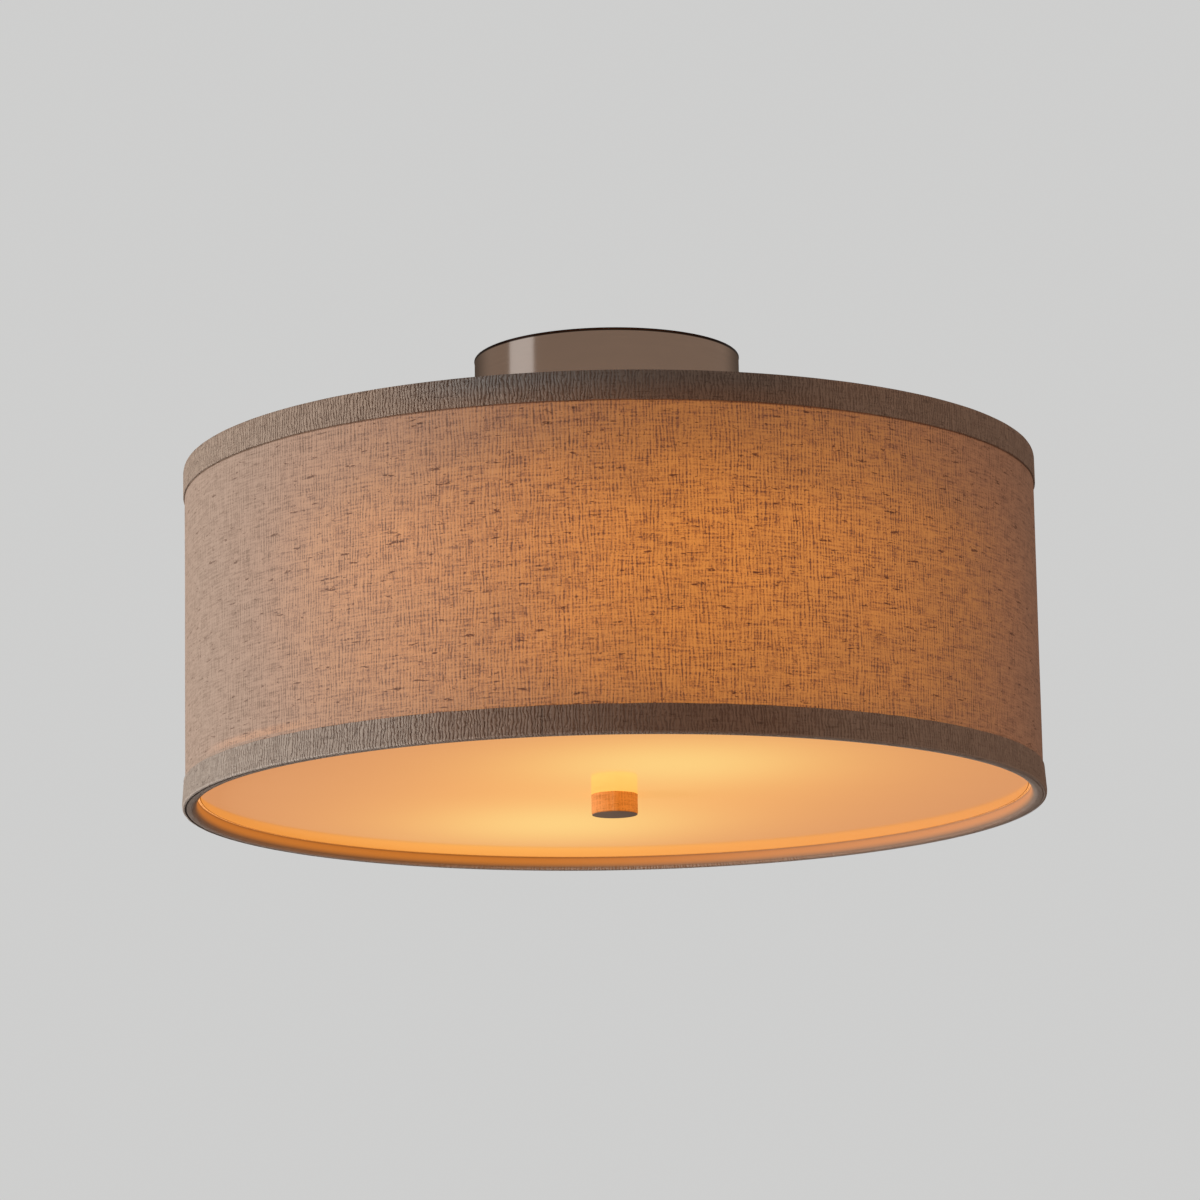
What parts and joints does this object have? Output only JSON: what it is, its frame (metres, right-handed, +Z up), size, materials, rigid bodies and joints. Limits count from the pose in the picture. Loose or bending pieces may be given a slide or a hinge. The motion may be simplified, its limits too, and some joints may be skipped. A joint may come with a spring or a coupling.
{
  "type": "flush mount ceiling light",
  "caption": "Round flush mount ceiling light: linen drum shade with an opal diffuser and fabric knob under a brushed nickel canopy, lamps and wiring inside.",
  "frame": {"origin": "centre of the ceiling plane, midway between the two slots of the mounting crossbar", "axes": "+Z up into the ceiling; +Y along the crossbar, away from the viewer; +X to the viewer's right"},
  "size_m": [0.4081, 0.4082, 0.2215],
  "materials": {
    "zinc_steel": "zinc plated, satin",
    "green_steel": "green passivated, satin",
    "brushed_nickel": "brushed nickel, satin, warm grey",
    "white_wire": "white powder coat",
    "liner_plastic": "matt styrene",
    "linen": "slubby woven linen, oatmeal, lit from inside",
    "linen_tape": "folded linen tape",
    "black_lead": "insulated lead",
    "white_lead": "insulated lead",
    "copper": "bare copper wire",
    "wire_nut_plastic": "moulded orange plastic",
    "brass": "plain brass",
    "holder_plastic": "black phenolic",
    "lamp_insulator": "black glass",
    "lamp_aluminium": "plain",
    "lamp_white": "white moulded plastic",
    "lamp_board": "white solder mask",
    "lamp_dome": "frosted white plastic, lit",
    "diffuser_acrylic": "polished opal acrylic, lit from inside",
    "clear_nylon": "natural nylon",
    "finial_wood": "turned beech",
    "finial_linen": "fine woven linen, glued round the knob",
    "finial_grey": "smooth grey paint"
  },
  "bodies": {
    "crossbar": {"mounting_crossbar": "zinc_steel", "canopy_studs": "zinc_steel", "stud_lock_nuts": "zinc_steel", "ground_screw": "green_steel"},
    "fixture": {"canopy": "brushed_nickel", "canopy_washer": "zinc_steel", "canopy_lock_nut": "zinc_steel", "stem_tube": "zinc_steel", "stem_sleeve": "brushed_nickel", "lower_sleeve": "zinc_steel", "shade_top_ring": "white_wire", "shade_spider": "white_wire", "shade_bottom_ring": "white_wire", "shade_liner": "liner_plastic", "shade_fabric": "linen", "shade_tape_top": "linen_tape", "shade_tape_bottom": "linen_tape", "cluster_body": "zinc_steel", "cluster_lock_nut": "zinc_steel", "cluster_cap": "zinc_steel", "rod_lock_nut": "zinc_steel", "diffuser_rod": "zinc_steel", "stop_washer": "zinc_steel", "stop_nut": "zinc_steel", "leads_black": "black_lead", "leads_white": "white_lead", "lead_ground": "copper", "wire_nuts": "wire_nut_plastic", "side_pipe_front": "zinc_steel", "side_pipe_back": "zinc_steel", "side_pipe_nut_front": "brass", "side_pipe_nut_back": "brass", "holder_body_front": "holder_plastic", "holder_body_back": "holder_plastic", "holder_insulator_front": "holder_plastic", "holder_insulator_back": "holder_plastic", "holder_contact_front": "brass", "holder_contact_back": "brass", "holder_shell_front": "brass", "holder_shell_back": "brass"},
    "cap_nut_front": {"cap_nut_front": "brushed_nickel"},
    "cap_nut_back": {"cap_nut_back": "brushed_nickel"},
    "lamp_front": {"lamp_contact_front": "brass", "lamp_insulator_front": "lamp_insulator", "lamp_cap_front": "lamp_aluminium", "lamp_neck_front": "lamp_white", "lamp_board_front": "lamp_board", "lamp_dome_front": "lamp_dome"},
    "lamp_back": {"lamp_contact_back": "brass", "lamp_insulator_back": "lamp_insulator", "lamp_cap_back": "lamp_aluminium", "lamp_neck_back": "lamp_white", "lamp_board_back": "lamp_board", "lamp_dome_back": "lamp_dome"},
    "diffuser": {"diffuser_disc": "diffuser_acrylic", "diffuser_bushing": "clear_nylon"},
    "finial": {"finial_insert": "brass", "finial_core": "finial_wood", "finial_wrap": "finial_linen", "finial_cover": "finial_grey"}
  },
  "joints": [
    {"name": "canopy_lower", "type": "slide", "parent": "crossbar", "child": "fixture", "axis": [0, 0, -1], "range_m": [0, 0.00556]},
    {"name": "cap_nut_front_turn", "type": "hinge", "parent": "fixture", "child": "cap_nut_front", "pos_m": [0, -0.03, -0.033], "axis": [0, 0, -1], "range_deg": [0, 2521]},
    {"name": "cap_nut_back_turn", "type": "hinge", "parent": "fixture", "child": "cap_nut_back", "pos_m": [0, 0.03, -0.033], "axis": [0, 0, -1], "range_deg": [0, 2521]},
    {"name": "lamp_front_unscrew", "type": "slide", "parent": "fixture", "child": "lamp_front", "axis": [0.2924, -0.9563, 0], "range_m": [0, 0.03]},
    {"name": "lamp_back_unscrew", "type": "slide", "parent": "fixture", "child": "lamp_back", "axis": [-0.2924, 0.9563, 0], "range_m": [0, 0.03]},
    {"name": "diffuser_lower", "type": "slide", "parent": "fixture", "child": "diffuser", "axis": [0, 0, -1], "range_m": [0, 0.00753]},
    {"name": "finial_turn", "type": "hinge", "parent": "diffuser", "child": "finial", "pos_m": [0, 0, -0.2165], "axis": [0, 0, -1], "range_deg": [0, 2881]}
  ],
  "couplings": [
    {"joint": "cap_nut_front_turn", "follows": "canopy_lower", "rad_per_m": 7915.8},
    {"joint": "cap_nut_back_turn", "follows": "canopy_lower", "rad_per_m": 7915.8},
    {"joint": "finial_turn", "follows": "diffuser_lower", "rad_per_m": 6679}
  ]
}
